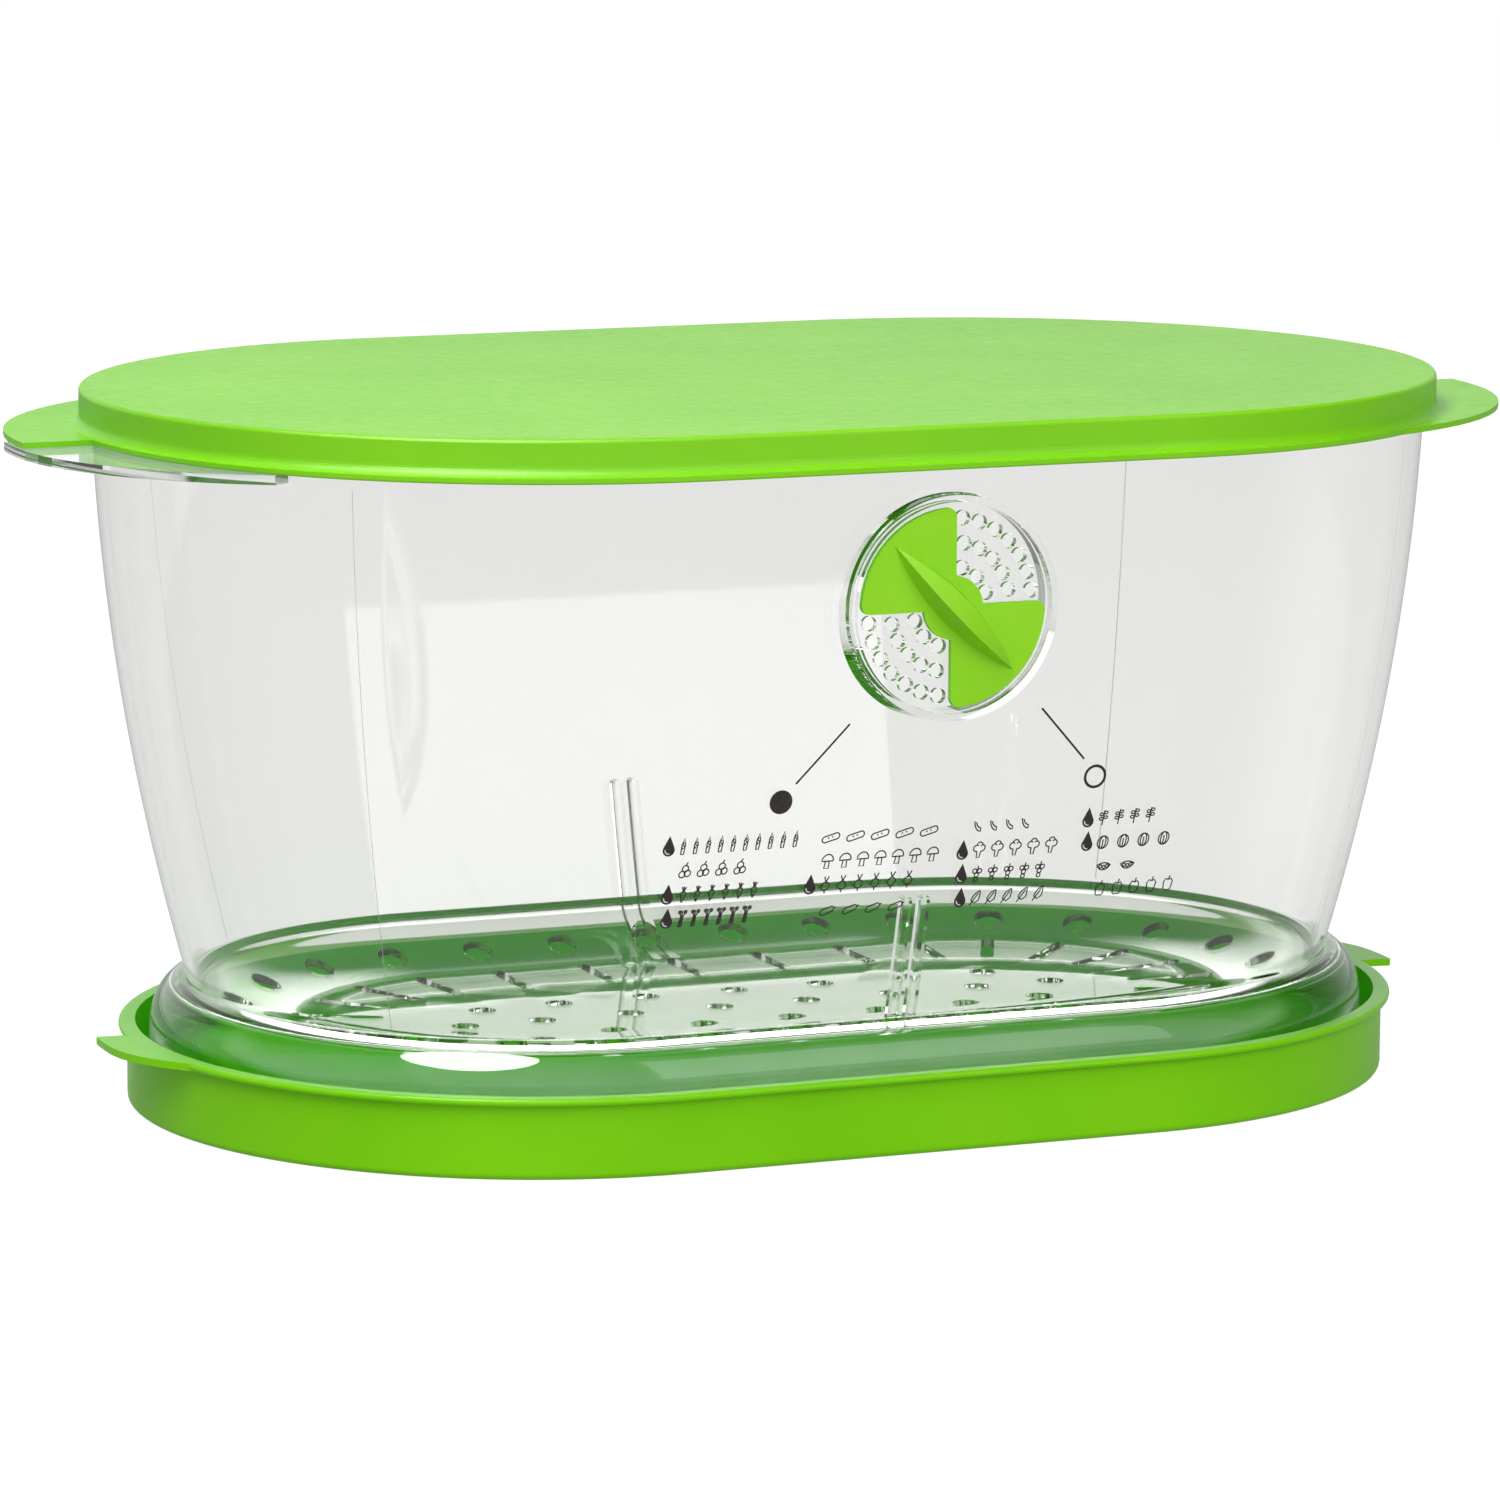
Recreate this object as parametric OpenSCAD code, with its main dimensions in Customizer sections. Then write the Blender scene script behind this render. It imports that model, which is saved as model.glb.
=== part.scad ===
// Produce keeper: a clear bin that stands in a water tray, under a press-on lid,
// with a turning vent in its front wall.
// The plan is two half circles joined by straight sides. Long sides face -Y and +Y,
// and z = 0 is the surface that the tray stands on.

/* [Plan] */
// Distance between the centres of the two round ends
end_spacing = 121; // [80:1:180]

/* [Tray] */
// Thickness of the tray's floor
tray_floor = 2.2; // [1.5:0.1:4]
// Thickness of the tray's upright wall
tray_wall = 1.9; // [1.2:0.1:3]
// Height of the tray to the top of its rim
tray_h = 19.6; // [14:0.1:26]
// Gap between the bin's skirt and the tray's wall
tray_gap = 3.4; // [1:0.1:8]
// How far the tray's rim turns outward
tray_rim = 2.1; // [1:0.1:5]
// Thickness of the tray's rim, whose edge is fully round
tray_rim_t = 1.8; // [1:0.1:2.4]
// Radius of the tray's bottom edge
tray_edge = 1.6; // [0.5:0.1:2]
// How far the grip at each end reaches past the tray's rim
tray_grip = 7.5; // [2:0.5:12]
// Angle over which a tray grip dies into the rim
tray_grip_sweep = 16; // [8:1:40]
// Angle from the end's middle to the step where a tray grip starts
tray_grip_step = 7; // [4:1:20]

/* [Bin] */
// Height of the bin from the foot of its skirt to its lip
bin_h = 169.6; // [140:0.5:220]
// Outside radius of the bin's ends at the mouth
mouth_r = 106.5; // [98:0.5:125]
// Outside radius of the bin's ends at the waist
waist_r = 84.5; // [78:0.5:92]
// Outside radius of the skirt's ends
skirt_r = 93.6; // [90:0.2:98]
// Thickness of the bin's wall
bin_wall = 2.2; // [1.5:0.1:3.5]
// How far the wall bulges out between waist and mouth
wall_bulge = 4; // [0:0.5:8]
// Height of the upright lip at the mouth
lip_h = 7; // [5:0.5:12]
// Radius of the lip's outer edge
lip_edge = 0.8; // [0.3:0.1:1.2]
// Height of the waist above the foot of the skirt
waist_h = 28.3; // [24:0.1:36]
// Height of the upright part of the skirt
skirt_upright = 15.8; // [8:0.2:20]
// Thickness of the shoulder between the waist and the space inside the skirt
shoulder_t = 2.9; // [2:0.1:4]
// Radius of the corner between the skirt's inside and the shoulder
skirt_corner = 1.5; // [0.5:0.1:2.5]
// Height of the inside floor above the foot of the skirt
floor_h = 16.2; // [14:0.2:22]
// Thickness of the bin's floor
floor_t = 2; // [1.5:0.1:3]
// Width of the floor's curved margin
floor_margin = 30; // [20:0.5:36]

/* [Floor holes] */
// Number of holes in the outer ring, each with a slot on the way to the middle
drain_count = 30; // [22:2:32]
// Distance of the outer ring of holes from the middle line
drain_ring = 73; // [69:0.5:76]
// Diameter of the holes in the outer ring
ring_hole_d = 7.6; // [4:0.2:9]
// Distance of the inner ring of holes from the middle line
drain_row = 18; // [12:0.5:24]
// Diameter of the holes in the inner ring and along the middle line
drain_d = 6.8; // [4:0.2:9]
// Number of inner holes round each end
end_holes = 3; // [1:1:4]
// Width of the floor's slots
slot_w = 3.4; // [2:0.2:5]
// Distance from the middle line to the start of a slot
slot_from = 37; // [32:0.5:42]
// Distance from the middle line to the end of a slot
slot_to = 60; // [50:0.5:64]

/* [Divider guides] */
// Height of the top of the divider guides above the foot of the skirt
guide_top = 58.3; // [45:0.5:90]
// Width of one guide rib
guide_rib = 2.2; // [1.5:0.1:3]
// Width of the slot between the two ribs of a guide
guide_slot = 2.4; // [2:0.1:4]
// How far a guide rib stands out of the wall
guide_depth = 3; // [1.5:0.1:5]

/* [Bin tabs] */
// Radius that the bin's tabs reach from the centre of an end
bin_tab_r = 129.6; // [126:0.2:135]
// Thickness of the bin's tabs
bin_tab_t = 2.2; // [1.5:0.1:3.5]
// Angle that a bin tab covers before it has died into the wall
bin_tab_sweep = 42; // [37:1:60]
// Angle at which the end of a bin tab is cut off square
bin_tab_cut = 36; // [20:1:36]
// Angle that a bin tab reaches on under the lid's tab
bin_tab_under = 7; // [4:1:20]

/* [Lid] */
// Thickness of the lid's top plate
lid_t = 2; // [1.5:0.1:3.5]
// Thickness of the lid's side wall
lid_wall = 1.9; // [1.2:0.1:3]
// Height of the lid's side, from its rim to its top
lid_h = 10.1; // [8:0.1:12]
// Gap between the bin's lip and the lid's side wall
lid_gap = 1.1; // [0.5:0.1:2]
// How far the lid's rim flares out past its side wall
lid_flare = 2.6; // [1:0.1:4]
// Thickness of the lid's rim and tabs
lid_rim_t = 1.4; // [1:0.1:2.5]
// Radius of the hollow round between the lid's side wall and its rim
lid_fillet = 2.5; // [1:0.1:3]
// Radius of the lid's top edge
lid_edge = 1; // [0.3:0.1:2]
// Radius of the edge of the lid's rim
lid_rim_edge = 0.5; // [0.2:0.1:0.6]
// Depth of the skirt inside the bin's mouth
plug_h = 6; // [3:0.5:7]
// Thickness of the skirt inside the bin's mouth
plug_t = 1.6; // [1:0.1:3]
// Radius that the lid's tabs reach from the centre of an end
lid_tab_r = 129.2; // [126:0.2:140]
// Angle over which a lid tab dies into the rim
lid_tab_sweep = 55; // [40:1:70]

/* [Vent] */
// Depth of the vent's centre below the bin's lip
vent_drop = 40.5; // [40:0.1:60]
// Outside diameter of the vent's ring at its face
vent_d = 52.9; // [52:0.1:56]
// Angle at which the ring widens toward the wall
vent_draft = 4; // [0:0.5:8]
// Thickness of the vent's ring at its face
vent_ring = 1.6; // [1.2:0.1:2]
// How far the ring's face stands out from the wall at its centre
vent_proud = 6.1; // [5:0.1:9]
// Depth of the grille behind the ring's face
grille_depth = 2.5; // [1.9:0.1:4]
// Thickness of the grille
grille_t = 1.8; // [1:0.1:3]
// Diameter of the grille's holes
grille_hole = 3.6; // [2:0.1:4]
// Distance from the ring's inside to the centres of the outermost grille holes
grille_margin = 4; // [3:0.1:5]
// Distance between the arcs of grille holes
grille_step = 5.7; // [5:0.1:6]

/* [Vent dial] */
// Gap between the dial's wings and the ring
wing_gap = 1.4; // [0.5:0.1:3]
// Thickness of the dial's wings
wing_t = 1.4; // [1:0.1:2]
// Radius of the wings' outer corners
wing_corner = 2.2; // [1:0.1:3]
// How far each wing reaches past the dial's centre lines
wing_lap = 0.6; // [0.2:0.1:2]
// Radius of the dial's hub
hub_r = 7.5; // [5:0.1:9]
// Distance from the wings' edge to the tip of the dial's grip
grip_inset = 1.7; // [0.5:0.1:6]
// Width of the dial's grip
grip_w = 8; // [6:0.1:10]
// Height of the dial's grip above the wings
grip_h = 6.5; // [4:0.1:9]
// Angle at which the sides of the grip lean in
grip_lean = 16; // [5:1:20]
// Diameter of the dial's stem
stem_d = 6; // [5:0.1:8]
// Diameter of the snap head on the stem
snap_d = 7.6; // [7:0.1:10]
// Thickness of the snap head
snap_t = 1.6; // [1:0.1:3]
// Width of the slit that lets the snap head close
snap_slit = 1.2; // [0.8:0.1:2]

/* [Clearances] */
// Gap between the bin's lip and the lid's top plate
seat_gap = 0.2; // [0.1:0.05:0.4]
// Gap between the bin's lip and the skirt inside it
plug_gap = 0.4; // [0.2:0.05:0.8]
// Gap between the dial and the grille, in front and behind
dial_gap = 0.25; // [0.1:0.05:0.35]
// Gap between the dial's stem and its bore, on the radius
stem_gap = 0.08; // [0.03:0.01:0.1]
// Gap between a bin tab and the lid tab over it
tab_gap = 0.2; // [0.1:0.05:0.5]

/* [Hidden] */

// Facets of a full turn: large sweeps, then small holes and pins
turn_fn = 96;
hole_fn = 24;
// Overlap that lets one cut run past a face
cut_over = 1;
// Steps along the curves of a profile
wall_steps = 12;
curve_steps = 6;
tab_steps = 16;

half_spacing = end_spacing / 2;

// Levels above the surface that the tray stands on
foot_z = tray_floor;
waist_z = foot_z + waist_h;
lip_z = foot_z + bin_h;
wall_top_z = lip_z - lip_h;
floor_z = foot_z + floor_h;
skirt_bend_z = foot_z + skirt_upright;
lid_under_z = lip_z + seat_gap;
lid_top_z = lid_under_z + lid_t;
rim_z = lid_top_z - lid_h;
bin_tab_z = rim_z - tab_gap - bin_tab_t;
vent_z = lip_z - vent_drop;

// Radii of the ends
tray_in_r = skirt_r + tray_gap;
tray_out_r = tray_in_r + tray_wall;
tray_rim_r = tray_out_r + tray_rim;
lip_in_r = mouth_r - bin_wall;
plug_out_r = lip_in_r - plug_gap;
lid_in_r = mouth_r + lid_gap;
lid_out_r = lid_in_r + lid_wall;
lid_rim_r = lid_out_r + lid_flare;

// Outside radius of the bin's wall at a height: a straight taper plus a bulge
function wall_part(z) = (z - waist_z) / (wall_top_z - waist_z);
function wall_r(z) = let (t = wall_part(z))
    waist_r + (mouth_r - waist_r) * t + 4 * wall_bulge * t * (1 - t);

// Points of the wall between waist and lip, moved in by an inset, going up
function wall_points(inset) = [for (i = [0 : wall_steps])
    let (z = waist_z + (wall_top_z - waist_z) * i / wall_steps) [wall_r(z) - inset, z]];

// Quarter of an ellipse about (r, z), between two angles
function ellipse_arc(r, z, wide, high, from, to) = [for (i = [0 : curve_steps])
    let (a = from + (to - from) * i / curve_steps) [r + wide * cos(a), z + high * sin(a)]];

function backward(list) = [for (i = [len(list) - 1 : -1 : 0]) list[i]];

// Sizes of the floor's curved margin, inside and underneath
bowl_r = waist_r - bin_wall - floor_margin;
bowl_high = waist_z - floor_z;
under_high = bowl_high + floor_t;
under_wide = floor_margin + floor_t;

// Distances of the vent's faces from the middle plane, and the depth of its ring
vent_face = wall_r(vent_z) + vent_proud;
vent_reach = vent_proud + vent_d / 4;
vent_in_r = vent_d / 2 - vent_ring;
wing_r = vent_in_r - wing_gap;
grip_len = 2 * (wing_r - grip_inset);
grille_front = vent_face - grille_depth;
grille_back = grille_front - grille_t;
wing_back = grille_front + dial_gap;
wing_front = wing_back + wing_t;

// Sweeps a half profile round the plan: both ends, and the straight part between.
// The profile starts and ends on its own middle line.
module plan_sweep(points) {
    for (side = [0, 180])
        rotate([0, 0, side]) translate([half_spacing, 0, 0]) rotate([0, 0, -90])
            rotate_extrude(angle = 180, $fn = turn_fn) polygon(points);
    mirrored = [for (i = [len(points) - 2 : -1 : 1]) [-points[i][0], points[i][1]]];
    translate([-half_spacing, 0, 0]) rotate([90, 0, 90])
        linear_extrude(end_spacing) polygon(concat(points, mirrored));
}

// Plan of a crescent tab about the centre of the +X end, from one angle to another:
// it reaches out to `reach` along X and dies into `root` at the angle `sweep`
function tab_edge(root, reach, sweep, a) =
    a < 0 ? reach : root + (reach - root) * cos(90 * min(1, a / sweep));
module tab_plan(root, reach, inner, sweep, from, to) {
    outer = [for (i = [0 : tab_steps])
        let (a = from + (to - from) * i / tab_steps) tab_edge(root, reach, sweep, a) * [cos(a), sin(a)]];
    inside = [for (i = [0 : tab_steps])
        let (a = from + (to - from) * i / tab_steps) inner * [cos(a), sin(a)]];
    translate([half_spacing, 0]) polygon(concat(outer, backward(inside)));
}

// Both ends carry the same tab, turned half a turn about the middle
module at_both_ends() {
    for (side = [0, 180]) rotate([0, 0, side]) children();
}

// Tray
module tray() {
    color("yellowgreen") {
        plan_sweep(concat([[0, 0]],
            ellipse_arc(tray_out_r - tray_edge, tray_edge, tray_edge, tray_edge, -90, 0),
            [[tray_out_r, tray_h - tray_rim_t]],
            ellipse_arc(tray_rim_r - tray_rim_t / 2, tray_h - tray_rim_t / 2,
                tray_rim_t / 2, tray_rim_t / 2, -90, 90),
            [[tray_in_r, tray_h]],
            ellipse_arc(tray_in_r - tray_edge, tray_floor + tray_edge, tray_edge, tray_edge, 0, -90),
            [[0, tray_floor]]));
        at_both_ends() translate([0, 0, tray_h - tray_rim_t]) linear_extrude(tray_rim_t)
            tab_plan(tray_rim_r - 0.8 * tray_rim, tray_rim_r + tray_grip, tray_out_r - tray_wall / 2,
                tray_grip_sweep, -tray_grip_step, tray_grip_sweep);
    }
}

// Bin: outer form, inside space, and the space under its floor and inside its skirt
module bin_outer() {
    plan_sweep(concat([[0, foot_z], [skirt_r, foot_z]],
        ellipse_arc(waist_r, skirt_bend_z, skirt_r - waist_r, waist_z - skirt_bend_z, 0, 90),
        [for (p = wall_points(0)) if (p[1] > waist_z) p],
        [[mouth_r, lip_z - lip_edge]],
        ellipse_arc(mouth_r - lip_edge, lip_z - lip_edge, lip_edge, lip_edge, 0, 90),
        [[0, lip_z]]));
}

module bin_inside(inset) {
    plan_sweep(concat([[0, floor_z]],
        ellipse_arc(bowl_r, waist_z, floor_margin - inset, bowl_high, -90, 0),
        [for (p = wall_points(bin_wall + inset)) if (p[1] > waist_z) p],
        [[lip_in_r - inset, lip_z + cut_over], [0, lip_z + cut_over]]));
}

module under_floor() {
    skirt_in = skirt_r - bin_wall;
    crotch_z = waist_z - shoulder_t;
    bend_part = (crotch_z - skirt_bend_z) / (waist_z - skirt_bend_z);
    shoulder_r = waist_r + (skirt_r - waist_r) * sqrt(1 - pow(bend_part, 2)) - bin_wall;
    reach = skirt_r + waist_r;
    intersection() {
        plan_sweep(concat([[0, foot_z - cut_over], [skirt_in, foot_z - cut_over], [skirt_in, foot_z]],
            ellipse_arc(shoulder_r - skirt_corner, crotch_z - skirt_corner, skirt_corner, skirt_corner, 0, 90),
            [[0, crotch_z]]));
        plan_sweep(concat([[0, foot_z - 2 * cut_over], [reach, foot_z - 2 * cut_over], [reach, waist_z]],
            backward(ellipse_arc(bowl_r, waist_z, under_wide, under_high, -90, 0)),
            [[0, floor_z - floor_t]]));
    }
}

// Floor holes: an outer ring at even steps with a slot inside each hole, an inner ring
// that shares the steps along the straight sides, and a row between them on the middle line
drain_pitch = 2 * (end_spacing + PI * drain_ring) / drain_count;
inner_last = floor(half_spacing / drain_pitch) * drain_pitch;
inner_pitch = (2 * (half_spacing - inner_last) + PI * drain_row) / (end_holes + 1);
middle_count = floor(half_spacing / drain_pitch + 0.5);

// Turns its children outward at a distance along a path round the plan.
// The path starts at the middle of the rear side and lies a radius from the middle line.
module along_path(distance, r) {
    turn = max(0, abs(distance) - half_spacing) / r * 180 / PI;
    translate([sign(distance) * min(abs(distance), half_spacing), 0, 0])
        rotate([0, 0, -sign(distance) * turn]) children();
}

module drain_hole(y, d) {
    translate([0, y, foot_z]) cylinder(d = d, h = waist_h, $fn = hole_fn);
}
module drain_spoke() {
    drain_hole(drain_ring, ring_hole_d);
    drain_hole(slot_from + slot_w / 2, slot_w);
    drain_hole(slot_to - slot_w / 2, slot_w);
    translate([-slot_w / 2, slot_from + slot_w / 2, foot_z])
        cube([slot_w, slot_to - slot_from - slot_w, waist_h]);
}
module drains() {
    half_count = drain_count / 2;
    at_both_ends() {
        for (i = [0 : half_count - 1])
            along_path((i - (half_count - 1) / 2) * drain_pitch, drain_ring) drain_spoke();
        for (distance = [-inner_last : drain_pitch : inner_last + drain_pitch / 2])
            along_path(distance, drain_row) drain_hole(drain_row, drain_d);
        for (i = [1 : end_holes])
            along_path(inner_last + i * inner_pitch, drain_row) drain_hole(drain_row, drain_d);
        for (i = [0 : middle_count - 1])
            translate([(i + 0.5) * drain_pitch, 0, 0]) drain_hole(0, drain_d);
    }
}

// Divider guides: a pair of upright ribs at the middle of each long wall
module guide_ribs() {
    reach = mouth_r;
    for (side = [-1, 1], rib = [-1, 1])
        translate([rib * (guide_slot + guide_rib) / 2, side > 0 ? 0 : -reach, 0]) {
            translate([-guide_rib / 2, 0, foot_z])
                cube([guide_rib, reach, guide_top - guide_rib / 2]);
            translate([0, 0, foot_z + guide_top - guide_rib / 2]) rotate([-90, 0, 0])
                cylinder(d = guide_rib, h = reach, $fn = hole_fn);
        }
}

// Grille holes: two quarter turns of holes on three arcs
module grille_holes() {
    for (quarter = [0, 180], row = [0 : 2])
        let (count = 7 - 2 * row, first = 8 + 5 * row, last = 90 - first)
            for (i = [0 : count - 1])
                rotate([0, 0, quarter + first + (last - first) * i / (count - 1)])
                    translate([vent_in_r - grille_margin - row * grille_step, 0, 0])
                        cylinder(d = grille_hole, h = grille_t + 2 * cut_over, $fn = hole_fn);
}

// Stands its children at the vent, with their Z pointing out of the front wall
module at_vent(out) {
    translate([0, -out, vent_z]) rotate([90, 0, 0]) children();
}

module bin() {
    color([0.9, 0.93, 0.93, 0.5]) difference() {
        union() {
            bin_outer();
            at_vent(vent_face - vent_reach)
                cylinder(d1 = vent_d + 2 * vent_reach * tan(vent_draft), d2 = vent_d,
                    h = vent_reach, $fn = turn_fn);
            at_both_ends() translate([0, 0, bin_tab_z]) linear_extrude(bin_tab_t)
                tab_plan(mouth_r, bin_tab_r, mouth_r - bin_wall / 2,
                    bin_tab_sweep, -bin_tab_under, bin_tab_cut);
        }
        difference() {
            bin_inside(0);
            difference() {
                guide_ribs();
                bin_inside(guide_depth);
            }
        }
        under_floor();
        drains();
        at_vent(grille_front)
            cylinder(r = vent_in_r, h = grille_depth + cut_over, $fn = turn_fn);
        at_vent(vent_face - vent_reach - cut_over)
            cylinder(r = vent_in_r, h = grille_back - vent_face + vent_reach + cut_over,
                $fn = turn_fn);
        at_vent(grille_back - cut_over) grille_holes();
        at_vent(grille_back - cut_over)
            cylinder(d = stem_d + 2 * stem_gap, h = grille_t + 2 * cut_over, $fn = hole_fn);
    }
}

// Lid
module lid() {
    round_z = rim_z + lid_rim_t;
    color("yellowgreen") {
        plan_sweep(concat([[0, lid_under_z], [plug_out_r - plug_t, lid_under_z],
            [plug_out_r - plug_t, lid_under_z - plug_h], [plug_out_r, lid_under_z - plug_h],
            [plug_out_r, lid_under_z], [lid_in_r, lid_under_z], [lid_in_r, rim_z],
            [lid_rim_r - lid_rim_edge, rim_z]],
            ellipse_arc(lid_rim_r - lid_rim_edge, rim_z + lid_rim_edge, lid_rim_edge, lid_rim_edge, -90, 0),
            [[lid_rim_r, round_z]],
            ellipse_arc(lid_rim_r - lid_rim_edge, round_z + lid_fillet, lid_flare - lid_rim_edge,
                lid_fillet, 270, 180),
            ellipse_arc(lid_out_r - lid_edge, lid_top_z - lid_edge, lid_edge, lid_edge, 0, 90),
            [[0, lid_top_z]]));
        at_both_ends() translate([0, 0, rim_z]) mirror([0, 1, 0]) linear_extrude(lid_rim_t)
            tab_plan(lid_rim_r - lid_flare / 2, lid_tab_r, lid_out_r - lid_wall / 2,
                lid_tab_sweep, 0, lid_tab_sweep);
    }
}

// Vent dial: wings that cover a quarter turn each, a hub, a grip and a snap stem.
// It is drawn open, with its grip from upper left to lower right.
function wing_outline() = let (
        corner = sqrt(pow(wing_r - wing_corner, 2) - pow(wing_corner - wing_lap, 2)),
        near = wing_corner - wing_lap,
        tilt = atan2(near, corner))
    concat([[-wing_lap, -wing_lap]],
        [for (i = [0 : curve_steps]) let (a = -90 + (90 + tilt) * i / curve_steps)
            [corner + wing_corner * cos(a), near + wing_corner * sin(a)]],
        [for (i = [1 : 2 * curve_steps]) let (a = tilt + (90 - 2 * tilt) * i / (2 * curve_steps))
            wing_r * [cos(a), sin(a)]],
        [for (i = [1 : curve_steps]) let (a = 90 - tilt + (90 + tilt) * i / curve_steps)
            [near + wing_corner * cos(a), corner + wing_corner * sin(a)]]);

// One leaning side of the grip, and the whole grip under its arched crest
module grip_side(side) {
    side_r = (pow(grip_len / 2, 2) + pow(grip_w / 2, 2)) / grip_w;
    translate([0, side * grip_w / 2, 0]) rotate([side * grip_lean, 0, 0])
        translate([0, -side * side_r, -grip_h])
            cylinder(r = side_r, h = 3 * grip_h, $fn = 2 * turn_fn);
}
module grip() {
    crest_r = (pow(grip_len / 2, 2) + pow(grip_h, 2)) / (2 * grip_h);
    intersection() {
        grip_side(1);
        grip_side(-1);
        translate([0, grip_w, grip_h - crest_r]) rotate([90, 0, 0])
            cylinder(r = crest_r, h = 2 * grip_w, $fn = 2 * turn_fn);
        translate([-grip_len, -grip_w, -wing_t / 2]) cube([2 * grip_len, 2 * grip_w, 2 * grip_h]);
    }
}

module vent_dial() {
    color("yellowgreen") at_vent(wing_back) {
        linear_extrude(wing_t) for (turn = [90, 270]) rotate(turn) polygon(wing_outline());
        cylinder(r = hub_r, h = wing_t, $fn = turn_fn);
        translate([0, 0, wing_t]) rotate([0, 0, -45]) grip();
        difference() {
            union() {
                translate([0, 0, -grille_t - 2 * dial_gap - snap_t])
                    cylinder(d = stem_d, h = grille_t + 2 * dial_gap + snap_t, $fn = hole_fn);
                translate([0, 0, -grille_t - 2 * dial_gap - snap_t])
                    cylinder(d1 = stem_d, d2 = snap_d, h = snap_t, $fn = hole_fn);
            }
            translate([-snap_d, -snap_slit / 2, -grille_t - 2 * dial_gap - snap_t - cut_over])
                cube([2 * snap_d, snap_slit, grille_t + dial_gap + snap_t + cut_over]);
        }
    }
}

tray();
bin();
lid();
vent_dial();
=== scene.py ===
import math

import bmesh
import bpy
from mathutils import Matrix, Vector


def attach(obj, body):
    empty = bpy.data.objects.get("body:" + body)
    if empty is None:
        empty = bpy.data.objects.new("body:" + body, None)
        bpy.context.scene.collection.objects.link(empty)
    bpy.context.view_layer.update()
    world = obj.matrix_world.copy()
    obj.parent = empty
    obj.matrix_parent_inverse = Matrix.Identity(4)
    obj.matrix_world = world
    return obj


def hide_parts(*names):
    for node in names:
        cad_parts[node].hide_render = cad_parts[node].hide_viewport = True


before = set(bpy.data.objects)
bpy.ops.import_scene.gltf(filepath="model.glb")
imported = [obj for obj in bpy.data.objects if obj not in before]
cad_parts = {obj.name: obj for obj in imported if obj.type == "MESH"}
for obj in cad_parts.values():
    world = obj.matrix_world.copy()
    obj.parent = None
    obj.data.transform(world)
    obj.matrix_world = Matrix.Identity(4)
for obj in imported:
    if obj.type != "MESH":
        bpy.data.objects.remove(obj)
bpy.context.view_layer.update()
MM = 0.001

# Sizes of the bin, repeated from the source, in millimetres and degrees.
# The plan is two half circles round points END from the middle, joined by straight lines.
END = 60.5
FOOT_Z, BEND_Z, WAIST_Z, WALL_TOP_Z, LIP_Z = 2.2, 18.0, 30.5, 164.8, 171.8
SKIRT_R, WAIST_R, MOUTH_R = 93.6, 84.5, 106.5
WALL, BULGE, LIP_ROUND = 2.2, 4.0, 0.8
FLOOR_Z, FLOOR_T, MARGIN = 18.4, 2.0, 30.0
BOWL_R = WAIST_R - WALL - MARGIN
BOWL_HIGH = WAIST_Z - FLOOR_Z
CROTCH_R, CROTCH_Z, CROTCH_FILLET = 88.13, WAIST_Z - 2.9, 1.5
DRAINS, DRAIN_RING, RING_HOLE = 30, 73.0, 7.6
DRAIN_ROW, INNER_HOLE, END_HOLES = 18.0, 6.8, 3
SLOT_FROM, SLOT_TO, SLOT_W = 37.0, 60.0, 3.4
GUIDE_TOP, GUIDE_RIB, GUIDE_SLOT, GUIDE_DEPTH = 60.5, 2.2, 2.4, 3.0
TAB_Z, TAB_T, TAB_R = 161.5, 2.2, 129.6
TAB_FROM, TAB_TURN, TAB_SWEEP = -7, 43, 42
VENT_Z, VENT_D, VENT_RING, VENT_PROUD, VENT_DRAFT = 131.3, 52.9, 1.6, 6.1, 4
GRILLE_DEPTH, GRILLE_T, GRILLE_HOLE, STEM_BORE = 2.5, 1.8, 3.6, 6.16
GRILLE_MARGIN, GRILLE_STEP = 4, 5.7
# Holes in each arc of the grille, from the outside, and the angle of the first one
GRILLE_ARCS = ((7, 8), (5, 13), (3, 18))


def wall_r(z):
    t = (z - WAIST_Z) / (WALL_TOP_Z - WAIST_Z)
    return WAIST_R + (MOUTH_R - WAIST_R) * t + 4 * BULGE * t * (1 - t)


def on_wall(s, z, out):
    """Point at a distance out from the bin's wall: s runs round the plan from the middle of the front."""
    r = wall_r(z)
    near = 0.1
    slope = (wall_r(z + near) - wall_r(z - near)) / (2 * near)
    if abs(s) <= END:
        dx, dy, x0 = 0.0, -1.0, s
    else:
        a = (abs(s) - END) / r
        side = math.copysign(1, s)
        dx, dy, x0 = side * math.sin(a), -math.cos(a), side * END
    n = Vector((dx, dy, -slope)).normalized()
    return (Vector((x0 + r * dx, r * dy, z)) + n * out) * MM


def new_object(name, bm, smooth=True):
    mesh = bpy.data.meshes.new(name)
    bm.to_mesh(mesh)
    bm.free()
    for p in mesh.polygons:
        p.use_smooth = smooth
    obj = bpy.data.objects.new(name, mesh)
    bpy.context.scene.collection.objects.link(obj)
    return obj


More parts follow.
